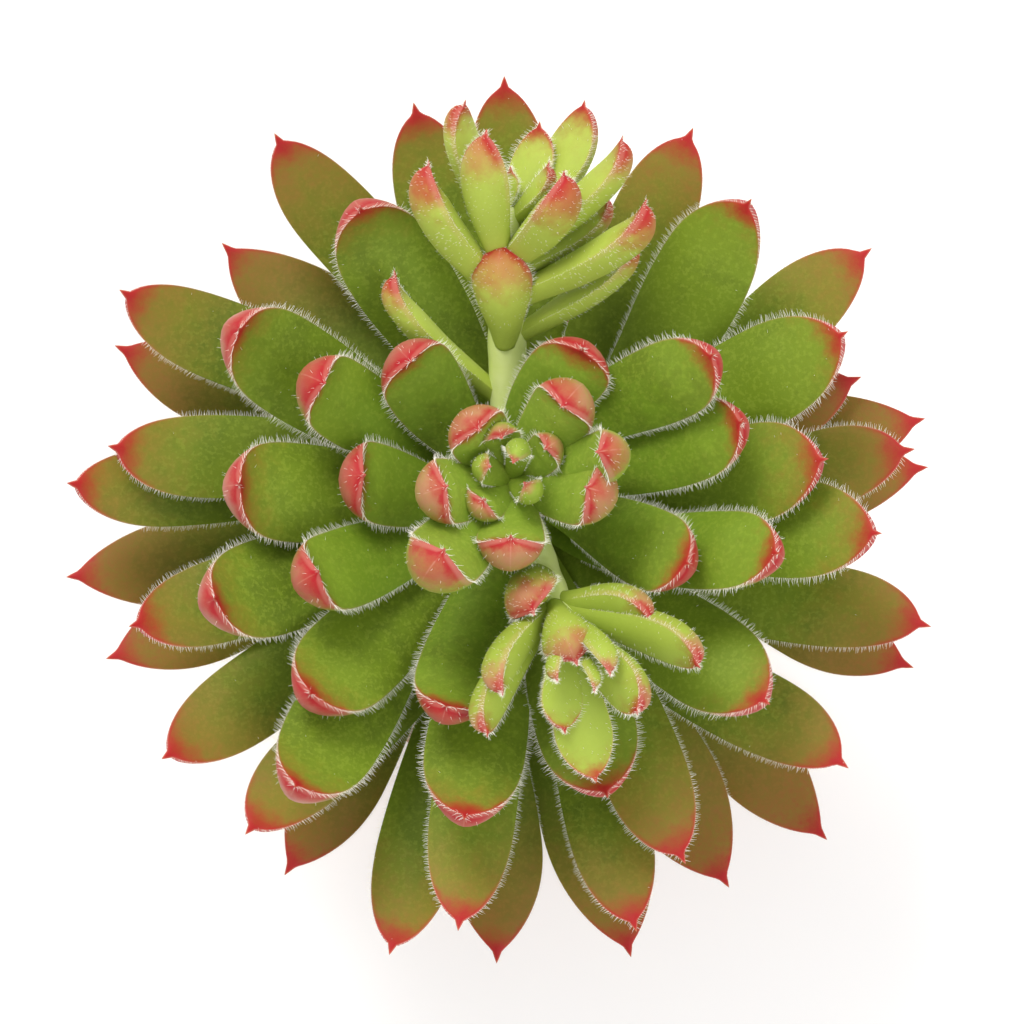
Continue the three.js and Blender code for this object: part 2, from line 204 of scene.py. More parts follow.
def colour(name, description, value):
    return FloatVectorProperty(
        name=name, description=description, subtype="COLOR", size=3, min=0, max=1, default=value
    )


def millimetres(name, description, value):
    return FloatProperty(name=name, description=description, default=value * MM, unit="LENGTH")


class SucculentLeafSettings(bpy.types.PropertyGroup):
    fresh: colour("Fresh", "Green of a full-grown leaf", (0.14, 0.2, 0.009))
    deep: colour("Deep", "Darker green that mottles a leaf", (0.08, 0.12, 0.005))
    sprout: colour("Sprout", "Green of a young leaf", (0.125, 0.25, 0.012))
    pale: colour("Pale", "Yellow-green of the youngest leaves", (0.3, 0.385, 0.04))
    blush: colour("Blush", "Orange-brown of ageing leaves", (0.265, 0.095, 0.02))
    red: colour("Red", "Red of the leaf tips", (0.38, 0.006, 0.013))
    line: colour("Line", "Pinkish white of the margins", (0.56, 0.27, 0.2))
    flush: colour("Flush", "Pink of the facet under a leaf's tip", (0.48, 0.18, 0.15))
    peach: colour("Peach", "Peach of a young leaf's facet", (0.41, 0.18, 0.057))
    lime: colour("Lime", "Bright yellow-green of the offsets", (0.43, 0.52, 0.08))
    rings: IntProperty(name="Rings", description="Rings along a leaf", default=46, min=12, max=120)
    sides: IntProperty(name="Sides", description="Sides round a leaf", default=36, min=12, max=96)


class SucculentHairSettings(bpy.types.PropertyGroup):
    length: millimetres("Length", "Length of a hair on the margin", 1.15)
    radius: millimetres("Radius", "Radius at a hair's foot", 0.038)
    spacing: millimetres("Spacing", "Space between margin hairs", 0.25)
    white: colour("White", "Colour of the hairs", (0.86, 0.84, 0.74))


class SucculentPotSettings(bpy.types.PropertyGroup):
    clay: colour("Clay", "Colour of the fired clay", (0.50, 0.20, 0.105))
    bloom: colour("Bloom", "Colour of the mineral bloom on the clay", (0.72, 0.58, 0.47))
    soil: colour("Soil", "Colour of the potting mix", (0.045, 0.028, 0.018))
    steps: IntProperty(
        name="Steps", description="Steps round the pot", default=128, min=24, max=256
    )


class SucculentStageSettings(bpy.types.PropertyGroup):
    floor: colour("Floor", "Colour of the floor", (0.95, 0.95, 0.945))
    key: FloatProperty(name="Key", description="Power of the key light", default=6.8, unit="POWER")
    fill: FloatProperty(name="Fill", description="Power of the fill light", default=4, unit="POWER")
    sky: FloatProperty(
        name="Sky", description="Strength of the light from all round", default=0.82, min=0
    )


# ---- Node helpers --------------------------------------------------------------------------------


class Nodes:
    """Adds and links shader nodes in one tree."""

    def __init__(self, tree):
        self.tree = tree

    def add(self, kind, **settings):
        node = self.tree.nodes.new(kind)
        for name, value in settings.items():
            setattr(node, name, value)
        return node

    def put(self, socket, value):
        if isinstance(value, bpy.types.NodeSocket):
            self.tree.links.new(value, socket)
        elif value is not None:
            socket.default_value = value

    def math(self, operation, a, b=None, clamp=False):
        node = self.add("ShaderNodeMath", operation=operation, use_clamp=clamp)
        for socket, value in zip(node.inputs, (a, b)):
            self.put(socket, value)
        return node.outputs[0]

    def plus(self, a, b):
        return self.math("ADD", a, b)

    def minus(self, a, b, clamp=False):
        return self.math("SUBTRACT", a, b, clamp=clamp)

    def times(self, a, b, clamp=False):
        return self.math("MULTIPLY", a, b, clamp=clamp)

    def mix(self, factor, a, b):
        node = self.add("ShaderNodeMix", data_type="RGBA")
        self.put(node.inputs["Factor"], factor)
        self.put(node.inputs[6], a)
        self.put(node.inputs[7], b)
        return node.outputs[2]

    def fade(self, value, start, end):
        """1 at and below start, 0 at and above end, smooth between."""
        node = self.add("ShaderNodeMapRange", interpolation_type="SMOOTHSTEP", clamp=True)
        self.put(node.inputs["Value"], value)
        self.put(node.inputs["From Min"], start)
        self.put(node.inputs["From Max"], end)
        node.inputs["To Min"].default_value = 1
        node.inputs["To Max"].default_value = 0
        return node.outputs[0]

    def noise(self, scale, detail=3.0, roughness=0.55, vector=None, distortion=0.0):
        node = self.add("ShaderNodeTexNoise")
        node.inputs["Scale"].default_value = scale
        node.inputs["Detail"].default_value = detail
        node.inputs["Roughness"].default_value = roughness
        node.inputs["Distortion"].default_value = distortion
        self.put(node.inputs["Vector"], vector)
        return node.outputs["Fac"]

    def attribute(self, name):
        return self.add("ShaderNodeAttribute", attribute_name=name).outputs["Fac"]

    def place(self):
        return self.add("ShaderNodeTexCoord").outputs["Object"]


def rgba(value):
    return (*value[:3], 1.0)


def new_group(name, inputs, outputs):
    """A shader node group with named sockets, and its helper, input and output nodes."""
    tree = bpy.data.node_groups.new(name, "ShaderNodeTree")
    for label, kind in inputs:
        tree.interface.new_socket(name=label, in_out="INPUT", socket_type=kind)
    for label, kind in outputs:
        tree.interface.new_socket(name=label, in_out="OUTPUT", socket_type=kind)
    n = Nodes(tree)
    return tree, n, n.add("NodeGroupInput").outputs, n.add("NodeGroupOutput").inputs


def leaf_skin_group():
    """Colours of a leaf from how far each point is from the tip, the margin and the keel."""
    if "Leaf skin" in bpy.data.node_groups:
        return bpy.data.node_groups["Leaf skin"]
    colours = ("Fresh", "Deep", "Pale", "Blush", "Red", "Flush", "Line")
    values = ("Blush reach", "Blush strength", "Red reach", "Line strength")
    inputs = [(c, "NodeSocketColor") for c in colours] + [(v, "NodeSocketFloat") for v in values]
    outputs = [("Colour", "NodeSocketColor")]
    outputs += [("Roughness", "NodeSocketFloat"), ("Height", "NodeSocketFloat")]
    tree, n, given, out = new_group("Leaf skin", inputs, outputs)
    tip, edge, keel, back, age, tint = [n.attribute(layer) for layer in SKIN_LAYERS]
    red_reach = given["Red reach"]
    place = n.place()
    patches = n.noise(110, 2, vector=place)
    mottle = n.noise(480, 4, 0.65, vector=place)
    specks = n.noise(1500, 3, 0.6, vector=place)
    grain = n.noise(3200, 2, vector=place)
    # Ground: fresh green with deeper patches and fine pale specks, paler on young leaves.
    deeper = n.plus(n.times(patches, 1.6), n.times(mottle, 1.7))
    threshold = n.plus(1.35, n.times(tint, 0.4))
    deeper = n.minus(deeper, threshold, clamp=True)
    ground = n.mix(deeper, given["Fresh"], given["Deep"])
    speckle = n.times(n.fade(n.minus(1.0, specks), 0.36, 0.52), 0.24)
    ground = n.mix(speckle, ground, given["Pale"])
    towards_tip = n.times(n.fade(tip, 2.0, 17.0), 0.24)
    ground = n.mix(towards_tip, ground, given["Pale"])
    young = n.fade(age, 0.0, 0.2)
    ground = n.mix(n.times(young, 0.8), ground, given["Pale"])
    # Blush: a ragged warm zone behind the tip, deeper on old leaves.
    ragged = n.plus(tip, n.times(n.minus(mottle, 0.5), 16.0))
    reach = n.times(given["Blush reach"], n.plus(0.45, age))
    blush = n.fade(n.plus(ragged, n.times(edge, 0.5)), 0.5, reach)
    blush = n.times(blush, n.plus(0.34, n.times(age, 0.58)))
    blush = n.times(blush, n.plus(0.55, n.times(specks, 0.9)))
    blush = n.times(blush, given["Blush strength"], clamp=True)
    skin = n.mix(blush, ground, given["Blush"])
    # Flush: the facet under the tip, in ragged patches that redden here and there.
    uneven = n.times(n.minus(mottle, 0.5), 4.2)
    on_back = n.plus(n.times(tip, 0.85), uneven)
    on_back = n.plus(on_back, n.times(n.minus(1.0, back), 20.0))
    flush_start, flush_end = n.times(red_reach, 0.5), n.times(red_reach, 1.9)
    flush = n.fade(on_back, flush_start, flush_end)
    redder = n.times(n.fade(n.minus(1.0, patches), 0.36, 0.6), 0.6)
    skin = n.mix(n.times(flush, 0.85), skin, n.mix(redder, given["Flush"], given["Red"]))
    # Red: the tip itself and a band along the margin beside it.
    near_tip = n.times(tip, n.plus(1.0, n.times(back, 0.8)))
    near_tip = n.plus(near_tip, n.times(uneven, 0.7))
    near_edge = n.plus(n.times(tip, 0.6), n.times(edge, 2.6))
    near_edge = n.plus(near_edge, uneven)
    nearest = n.math("MINIMUM", near_tip, near_edge)
    red_start, red_end = n.times(red_reach, 0.3), n.times(red_reach, 1.3)
    red = n.fade(nearest, red_start, red_end)
    skin = n.mix(n.times(red, 0.95), skin, given["Red"])
    # Pale lines: along the margins, and down the keel from the tip.
    line = n.times(n.fade(edge, 0.05, 0.24), n.fade(tip, 4.0, 20.0))
    ridge = n.times(back, n.fade(tip, 2.0, 4.5))
    ridge = n.times(n.fade(keel, 0.02, 0.16), ridge)
    ridge = n.times(ridge, n.fade(n.minus(1.0, mottle), 0.4, 0.62))
    line = n.times(n.math("MAXIMUM", line, ridge), given["Line strength"])
    skin = n.mix(line, skin, given["Line"])
    n.put(out["Colour"], skin)
    n.put(out["Roughness"], n.plus(0.5, n.times(mottle, 0.24)))
    relief = n.plus(n.times(grain, 0.4), n.times(mottle, 0.9))
    n.put(out["Height"], relief)
    return tree


def new_material(name):
    material = bpy.data.materials.new(name)
    material.use_nodes = True
    material.node_tree.nodes.clear()
    n = Nodes(material.node_tree)
    shader = n.add("ShaderNodeBsdfPrincipled")
    output = n.add("ShaderNodeOutputMaterial")
    n.put(output.inputs["Surface"], shader.outputs[0])
    return material, n, shader.inputs


def bumped(n, height, distance, strength=1.0):
    bump = n.add("ShaderNodeBump")
    bump.inputs["Distance"].default_value = distance
    bump.inputs["Strength"].default_value = strength
    n.put(bump.inputs["Height"], height)
    return bump.outputs[0]


def blended(a, b, share):
    return tuple(x + (y - x) * share for x, y in zip(a, b))


def make_fleshy(shader):
    """Lets light sink a little way into a leaf or side stem."""
    shader["Subsurface Weight"].default_value = 0.12
    shader["Subsurface Radius"].default_value = (0.9, 1.0, 0.25)
    shader["Subsurface Scale"].default_value = 1.6 * MM


def leaf_material(name, blush, red_reach, line_strength, redness=0.0, youth=0.0, sprout=0.0):
    """A leaf's skin. Blush is the reach and the strength of the warm zone behind the tip.

    Redness turns the pink facet red, youth makes it peach and the pale tints yellower, and sprout
    is the share of the young green in the ground."""
    if name in bpy.data.materials:
        return bpy.data.materials[name]
    look = bpy.context.scene.succulent_leaf
    material, n, shader = new_material(name)
    skin = n.add("ShaderNodeGroup", node_tree=leaf_skin_group())
    for label in ("fresh", "deep", "pale", "blush", "red", "flush", "line"):
        skin.inputs[label.capitalize()].default_value = rgba(getattr(look, label))
    skin.inputs["Fresh"].default_value = rgba(blended(look.fresh, look.sprout, sprout))
    flush = blended(blended(look.flush, look.red, redness), look.peach, youth)
    skin.inputs["Flush"].default_value = rgba(flush)
    skin.inputs["Pale"].default_value = rgba(blended(look.pale, look.lime, youth))
    skin.inputs["Blush reach"].default_value = blush[0]
    skin.inputs["Blush strength"].default_value = blush[1]
    skin.inputs["Red reach"].default_value = red_reach
    skin.inputs["Line strength"].default_value = line_strength
    n.put(shader["Base Color"], skin.outputs["Colour"])
    n.put(shader["Roughness"], skin.outputs["Roughness"])
    n.put(shader["Normal"], bumped(n, skin.outputs["Height"], 0.1 * MM, 0.5))
    make_fleshy(shader)
    shader["Specular IOR Level"].default_value = 0.26
    return material


def hair_material():
    if "Hair" in bpy.data.materials:
        return bpy.data.materials["Hair"]
    look = bpy.context.scene.succulent_hair
    material, n, shader = new_material("Hair")
    warmth = n.noise(900, 1, vector=n.place())
    n.put(shader["Base Color"], n.mix(warmth, rgba(look.white), (0.95, 0.93, 0.86, 1)))
    shader["Roughness"].default_value = 0.45
    # The hairs' faint glow is painted light: it stands in for light shining through them.
    shader["Emission Color"].default_value = (1.0, 0.97, 0.88, 1)
    shader["Emission Strength"].default_value = 0.1
    return material


# ---- Spines: the line that a leaf or side stem follows -------------------------------------------


class Spine:
    """A smooth line through given points, with a leaf's sideways and face directions along it."""

    def __init__(self, centres, sides, faces, width, depth, base_width, base_depth):
        self.centres = np.array(centres, float)
        self.sides = np.array(sides, float)
        self.faces = np.array(faces, float)
        steps = np.linalg.norm(np.diff(self.centres, axis=0), axis=1)
        self.knots = np.concatenate([[0.0], np.cumsum(steps)])
        self.length = float(self.knots[-1])
        self.width = width
        self.depth = depth
        self.base_width = base_width
        self.base_depth = base_depth

    def _smooth(self, values, x):
        """Cubic through the knots, with slopes from the neighbouring knots."""
        k = int(np.clip(np.searchsorted(self.knots, x) - 1, 0, len(self.knots) - 2))
        h = self.knots[k + 1] - self.knots[k]
        t = (x - self.knots[k]) / h
        before, after = max(k - 1, 0), min(k + 2, len(self.knots) - 1)
        m0 = (values[k + 1] - values[before]) / (self.knots[k + 1] - self.knots[before]) * h
        m1 = (values[after] - values[k]) / (self.knots[after] - self.knots[k]) * h
        a, b = values[k], values[k + 1]
        return (
            (2 * t**3 - 3 * t**2 + 1) * a
            + (t**3 - 2 * t**2 + t) * m0
            + (-2 * t**3 + 3 * t**2) * b
            + (t**3 - t**2) * m1
        )

    def at(self, share):
        x = share * self.length
        centre = Vector(self._smooth(self.centres, x))
        side = Vector(self._smooth(self.sides, x)).normalized()
        face = Vector(self._smooth(self.faces, x)).normalized()
        return centre, side, face, side.cross(face).normalized()

    def curled(self, angle, start):
        """The same line with its end turned further up, by an angle in degrees at the tip."""
        steps = 40
        stretch = 1.02 if angle > 0 else 1 + angle / 900
        centres, sides, faces = [], [], []
        last, place = None, None
        for i in range(steps + 1):
            centre, side, face, _ = self.at(i / steps)
            extra = math.radians(angle) * max(0.0, (i / steps - start) / (1 - start)) ** 2
            bend = Matrix.Rotation(-extra, 3, side)
            place = centre.copy() if last is None else place + bend @ (centre - last) * stretch
            last = centre
            centres.append(place.copy())
            sides.append(side)
            faces.append(bend @ face)
        return Spine(centres, sides, faces, *self.sizes())

    def moved(self, matrix):
        turn = matrix.to_3x3()
        return Spine(
            [matrix @ Vector(c) for c in self.centres],
            [turn @ Vector(s) for s in self.sides],
            [turn @ Vector(f) for f in self.faces],
            *self.sizes(),
        )

    def sizes(self):
        return self.width, self.depth, self.base_width, self.base_depth


def measured_spine(node):
    """The spine and sizes of a CAD leaf, from its rings of vertices, base to tip."""
    bm = bmesh.new()
    bm.from_mesh(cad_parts[node].data)
    bmesh.ops.remove_doubles(bm, verts=bm.verts, dist=1e-6)
    poles = [v for v in bm.verts if len(v.link_edges) == CAD_LEAF_SIDES]
    tip = max(poles, key=lambda v: v.co.xy.length)
    rings, seen, level = [], {tip}, {tip}
    while level:
        level = {e.other_vert(v) for v in level for e in v.link_edges} - seen
        seen |= level
        if len(level) == CAD_LEAF_SIDES:
            rings.append([v.co.copy() for v in level])
    rings.reverse()
    outwards = Vector((tip.co.x, tip.co.y, 0)).normalized()
    across = UP.cross(outwards)
    centres, sides, faces, widths, depths = [], [], [], [], []
    for ring in rings:
        pairs = ((a, b) for a in ring for b in ring)
        left, right = max(pairs, key=lambda pair: (pair[0] - pair[1]).length)
        side = (right - left).normalized()
        if side.dot(across) < 0:
            side = -side
        centre = (left + right) / 2
        drops = ((p - centre) - side * (p - centre).dot(side) for p in ring)
        lowest = max(drops, key=lambda drop: drop.length)
        centres.append(centre)
        sides.append(side)
        faces.append(-lowest.normalized())
        widths.append((right - left).length)
        depths.append(lowest.length)
    centres.append(tip.co.copy())
    sides.append(sides[-1])
    faces.append(faces[-1])
    bm.free()
    return Spine(centres, sides, faces, max(widths), max(depths), widths[0], depths[0])


def drawn_spine(start, height, length, pitch, turn, width, thickness, base_share):
    """The spine of a young leaf that leans out along +X from (start, 0, height), in millimetres."""
    centres, sides, faces = [], [], []
    place = Vector((start, 0, height))
    steps = 16
    for i in range(steps + 1):
        share = i / steps
        heading = math.radians(pitch + turn * share**3)
        centres.append(place * MM)
        sides.append(Vector((0, 1, 0)))
        faces.append(Vector((-math.sin(heading), 0, math.cos(heading))))
        middle = math.radians(pitch + turn * ((i + 0.5) / steps) ** 3)
        place = place + Vector((math.cos(middle), 0, math.sin(middle))) * length / steps
    return Spine(
        centres,
        sides,
        faces,
        width * MM,
        thickness * 0.86 * MM,
        width * base_share * MM,
        thickness * 0.6 * MM,
    )


# ---- Pieces in general ---------------------------------------------------------------------------


def new_piece(name, bm, material):
    """A piece made from a bmesh and linked into the scene."""
    mesh = bpy.data.meshes.new(name)
    bm.to_mesh(mesh)
    bm.free()
    mesh.materials.append(material)
    piece = bpy.data.objects.new(name, mesh)
    bpy.context.scene.collection.objects.link(piece)
    return piece


# ---- Leaves --------------------------------------------------------------------------------------


def smooth_step(x):
    c = min(1.0, max(0.0, x))
    return c * c * (3 - 2 * c)


def leaf_section(spine, form, share):
    """Half-width, depth of the back and crown of the face at a share of a leaf's length."""
    point = form["point"] * MM / spine.length
    body_share = min(1.0, share / (1 - point))
    rise = min(1.0, body_share / WIDEST_AT)
    fullness = (1 - form["full"]) * smooth_step(rise) + form["full"] * (1 - (1 - rise) ** 2)
    body = spine.base_width + (spine.width - spine.base_width) * fullness
    past = max(0.0, (body_share - WIDEST_AT) / (1 - WIDEST_AT))
    half = 0.5 * body * max(0.0, 1 - past ** form["round"]) ** form["taper"]
    to_tip = (1 - share) * spine.length
    spike = form["spike"] * MM * min(1.0, to_tip / (form["point"] * MM)) ** 0.9
    half = math.hypot(half, spike)
    thick = spine.base_depth + (spine.depth - spine.base_depth) * smooth_step(body_share / 0.6)
    end = min(0.6, 1.5 * spine.depth / spine.length)
    rounding = max(0.0, (body_share - 1 + end) / end)
    depth = math.hypot(thick * max(0.0, 1 - rounding**2.3) ** 0.5, 0.7 * spike)
    near_tip = smooth_step((body_share - 0.7) / 0.3)
    crown = form["plump"] * thick * (1 - near_tip)
    crown = math.hypot(crown, 0.45 * spike)
    foot = min(1.0, share / 0.03)
    closed = math.sqrt(max(0.0, 1 - (1 - foot) ** 2))
    return half * closed, depth * closed, crown * closed


def leaf_point(at, section, angle):
    """A point on a leaf's skin, and its distance from the middle line over the half-width."""
    centre, side, face, _ = at
    half, depth, crown = section
    angle = angle - 0.3 * math.sin(2 * angle)
    across = math.cos(angle)
    rest = max(0.0, 1 - abs(across) ** 2.2)
    if math.sin(angle) >= 0:
        lift = crown * rest
    else:
        lift = -depth * (0.92 * rest**0.58 + 0.08 * (1 - abs(across)))
    return centre + side * (half * across) + face * lift, across


def build_leaf(name, spine, form, material, tint, seed):
    """One leaf: a sphere drawn out along its spine, then dented a little.

    A form may also say how bare its tip is, by which its colours keep closer to the tip."""
    look = bpy.context.scene.succulent_leaf
    bm = bmesh.new()
    bmesh.ops.create_uvsphere(bm, u_segments=look.sides, v_segments=look.rings, radius=1)
    layers = {layer: bm.verts.layers.float.new(layer) for layer in SKIN_LAYERS}
    cache = {}
    drift = Vector((seed * 0.37, seed * 0.73, seed * 0.19))
    small = min(1.0, max(0.3, spine.width / MM / 9.5))
    for v in bm.verts:
        row = round((1 - math.acos(max(-1.0, min(1.0, v.co.z))) / math.pi) * look.rings)
        if row not in cache:
            share = 1 - (1 - row / look.rings) ** 1.6
            cache[row] = (share, spine.at(share), leaf_section(spine, form, share))
        share, at, section = cache[row]
        flat = math.hypot(v.co.x, v.co.y)
        angle = math.atan2(v.co.y, v.co.x) if flat > 1e-6 else 0.0
        is_back = math.sin(angle) < -1e-6
        if flat > 1e-6:
            place, across = leaf_point(at, section, angle)
        else:
            place, across = at[0], 0.0
        dent = noise.noise(place * 95 + drift) * 0.3 * MM * smooth_step((1 - share) / 0.15)
        half = section[0] / MM
        v[layers["from_tip"]] = (1 - share) * spine.length / MM / small * form.get("bare", 1.0)
        v[layers["from_edge"]] = half * (1 - abs(across))
        v[layers["from_keel"]] = half * abs(across) if is_back else 9.0
        v[layers["back"]] = 1.0 if is_back else 0.0
        v[layers["age"]] = form["age"]
        v[layers["tint"]] = tint
        v.co = place + at[2] * dent
    for f in bm.faces:
        f.smooth = True
    return new_piece(name, bm, material)


# ---- Hairs ---------------------------------------------------------------------------------------


def add_hair(bm, foot, direction, length, radius):
    """One tapered hair with three sides."""
    turn = direction.to_track_quat("Z", "Y").to_matrix().to_4x4()
    middle = foot + direction * (length * 0.5 - radius)
    bmesh.ops.create_cone(
        bm,
        cap_ends=True,
        segments=3,
        radius1=radius,
        radius2=radius * 0.22,
        depth=length,
        matrix=Matrix.Translation(middle) @ turn,
    )


def leaf_hairs(spine, form, rng):
    """A mesh of one leaf's hairs: a fringe on both margins and down on the skin towards the tip."""
    look = bpy.context.scene.succulent_hair
    bm = bmesh.new()
    reach = look.length * form["hair"]
    count = int(spine.length * 0.78 / look.spacing)
    for i in range(count):
        for edge in (0.0, math.pi):
            share = 0.22 + 0.775 * (i + rng.uniform(-0.4, 0.4)) / count
            share = min(0.99, max(0.2, share))
            if (1 - share) * spine.length < 1.5 * MM and rng.random() < 0.5:
                continue
            at = spine.at(share)
            place, across = leaf_point(at, leaf_section(spine, form, share), edge)
            closeness = smooth_step((share - 0.2) / 0.5)
            ahead = 0.25 + 0.7 * smooth_step((share - 0.9) / 0.1)
            direction = at[1] * math.copysign(1, across) + at[3] * ahead
            direction += at[2] * rng.uniform(-0.25, 0.55)
            direction += Vector([rng.uniform(-0.3, 0.3) for _ in range(3)])
            length = reach * (0.45 + 0.55 * closeness) * rng.uniform(0.6, 1.15)
            add_hair(bm, place, direction.normalized(), length, look.radius)
    for _ in range(form["down"]):
        share = 0.985 - 0.66 * rng.random() ** 1.25
        angle = rng.uniform(0.15, 2 * math.pi - 0.15)
        if math.sin(angle) > 0 and rng.random() < 0.65:
            angle = -angle
        at = spine.at(share)
        section = leaf_section(spine, form, share)
        place, across = leaf_point(at, section, angle)
        direction = at[2] * math.sin(angle) + at[1] * across * 0.8
        direction += at[3] * (0.35 + rng.uniform(0, 0.4))
        direction += Vector([rng.uniform(-0.25, 0.25) for _ in range(3)])
        length = reach * rng.uniform(0.35, 0.6)
        add_hair(bm, place, direction.normalized(), length, look.radius * 0.75)
    mesh = bpy.data.meshes.new("hairs_of_one_leaf")
    bm.to_mesh(mesh)
    bm.free()
    return mesh


def join_hairs(name, meshes):
    """All the hairs of a group of leaves as one piece."""
    bm = bmesh.new()
    for mesh in meshes:
        bm.from_mesh(mesh)
        bpy.data.meshes.remove(mesh)
    return new_piece(name, bm, hair_material())


# ---- Pieces --------------------------------------------------------------------------------------


class SUCCULENT_OT_leaves(bpy.types.Operator):
    """Builds the large leaves, each in the place of its CAD node, and their hairs"""

    bl_idname = "succulent.leaves"
    bl_label = "Large leaves"

    def execute(self, context):
        materials = {
            "oldest_leaf": leaf_material("Old leaf", (26, 0.95), 4.8, 0.3),
            "outer_leaf": leaf_material("Outer leaf", (23, 1.0), 5.2, 0.35),
            "middle_leaf": leaf_material("Middle leaf", (16, 1.0), 4.2, 0.3, sprout=0.15),
            "upper_leaf": leaf_material(
                "Upper leaf", (12, 1.0), 3.8, 0.3, redness=0.5, sprout=0.5
            ),
        }
        for tier in TIERS:
            rng = random.Random(tier)
            hairs = []
            for i, node in enumerate(sorted(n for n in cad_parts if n.startswith(tier))):
                form = dict(FORMS[tier])
                spine = measured_spine(node)
                compass = math.atan2(spine.centres[-1][1], spine.centres[-1][0])
                towards = 0.5 + 0.5 * math.cos(compass - math.radians(LEANS_TO))
                curl = form["curl"] * (LEAST_CURL + (1 - LEAST_CURL) * towards**1.2)
                spine = spine.curled(curl, form["curl_from"])
                if tier == "oldest_leaf":
                    in_gap = smooth_step((math.cos(compass - math.radians(GAP_AT)) - 0.8) / 0.15)
                    spine.width *= OLDEST_WIDENED + GAP_WIDENED * in_gap
                if form["age"] > 0.3:
                    form["age"] += rng.uniform(-0.2, 0.2)
                tint = rng.random()
                seed = i + 7 * len(tier)
                leaf = build_leaf(node + "_skin", spine, form, materials[tier], tint, seed)
                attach(leaf, BODY)
                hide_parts(node)
                hairs.append(leaf_hairs(spine, form, rng))
            fringe = join_hairs(tier + "_hairs", hairs)
            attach(fringe, BODY)
        return {"FINISHED"}


class SUCCULENT_OT_heart(bpy.types.Operator):
    """Builds the half-grown leaves and the growing tip at the heart of the rosette"""

    bl_idname = "succulent.heart"
    bl_label = "Heart"

    def execute(self, context):
        rng = random.Random("heart")
        material = leaf_material("Young leaf", (12, 1.0), 3.0, 0.4, youth=0.5, sprout=0.8)
        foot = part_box("heart")[0].z / MM
        hairs = []
        for i, (angle, reach, width, pitch) in enumerate(HEART_LEAVES):
            form = dict(FORMS["heart_leaf"])
            small = smooth_step((BUD_REACHES[0] - reach) / (BUD_REACHES[0] - BUD_REACHES[1]))
            form["age"] = 0.12 - 0.03 * small
            form["hair"] *= 1 - 0.35 * small
            form["point"] *= 1 - 0.4 * small
            form["bare"] = 1 + 1.3 * small
            shares = [step / HEART_STEPS for step in range(HEART_STEPS)]
            headings = [math.radians(pitch + HEART_TURN * share**3) for share in shares]
            out = sum(math.cos(heading) for heading in headings) / HEART_STEPS
            height = foot + HEART_LEAF_START + HEART_LEAF_SPACING * i
            thickness = width * HEART_THICKNESS_SHARE
            spine = drawn_spine(
                0, height, reach / out, pitch, HEART_TURN, width, thickness, HEART_BASE_SHARE
            )
            spine = spine.curled(form["curl"], form["curl_from"])
            spine = spine.moved(Matrix.Rotation(math.radians(angle), 4, "Z"))
            name = f"heart_leaf_{i + 1:02d}"
            leaf = build_leaf(name, spine, form, material, rng.random(), 40 + i)
            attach(leaf, BODY)
            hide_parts("heart")
            hairs.append(leaf_hairs(spine, form, rng))
        fringe = join_hairs("heart_hairs", hairs)
        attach(fringe, BODY)
        return {"FINISHED"}


def stalk_material():
    """The skin of a side stem: pale and waxy, with faint lengthwise streaks."""
    if "Side stem" in bpy.data.materials:
        return bpy.data.materials["Side stem"]
    material, n, shader = new_material("Side stem")
    place = n.place()
    streaks = n.noise(420, 3, 0.6, vector=place)
    look = bpy.context.scene.succulent_leaf
    tone = n.mix(streaks, (0.6, 0.7, 0.2, 1), (0.72, 0.8, 0.33, 1))
    tone = n.mix(n.fade(n.noise(160, 2, vector=place), 0.25, 0.42), tone, rgba(look.lime))
    n.put(shader["Base Color"], tone)
    n.put(shader["Roughness"], n.plus(0.45, n.times(streaks, 0.2)))
    n.put(shader["Normal"], bumped(n, streaks, 0.15 * MM, 0.5))
    make_fleshy(shader)
    return material


def stalk_spine(offset, foot):
    """The line of a side stem from the main stem's axis to past the foot of its small rosette."""
    lean = math.radians(offset["lean"])
    axis = Vector((math.sin(lean), 0, math.cos(lean)))
    root = Vector((STALK_START, 0, foot + offset["root_height"]))
    head = Vector((offset["head_distance"], 0, foot + offset["head_height"]))
    middle = root.lerp(head, 0.55) - Vector((0, 0, STALK_SAG))
    end = head + axis * STALK_PAST_HEAD
    centres = [root, middle, head, end]
    side = Vector((0, 1, 0))
    faces = []
    for a, b in ((root, middle), (root, head), (middle, end), (head, end)):
        faces.append((b - a).normalized().cross(side))
    return Spine([c * MM for c in centres], [side] * 4, faces, 0, 0, 0, 0), head, axis


def build_stalk(name, spine, radius, material):
    """A side stem: a sphere drawn out along its spine, thicker at its foot."""
    bm = bmesh.new()
    bmesh.ops.create_uvsphere(bm, u_segments=24, v_segments=40, radius=1)
    for v in bm.verts:
        share = 1 - math.acos(max(-1.0, min(1.0, v.co.z))) / math.pi
        centre, side, face, _ = spine.at(share)
        girth = radius * (1.15 - 0.25 * share) * math.sqrt(max(0.0, 1 - (2 * share - 1) ** 12))
        flat = math.hypot(v.co.x, v.co.y)
        out = (side * v.co.x + face * v.co.y) / flat if flat > 1e-6 else Vector((0, 0, 0))
        wave = 1 + 0.08 * noise.noise(centre * 260)
        v.co = centre + out * (girth * wave)
    for f in bm.faces:
        f.smooth = True
    return new_piece(name, bm, material)


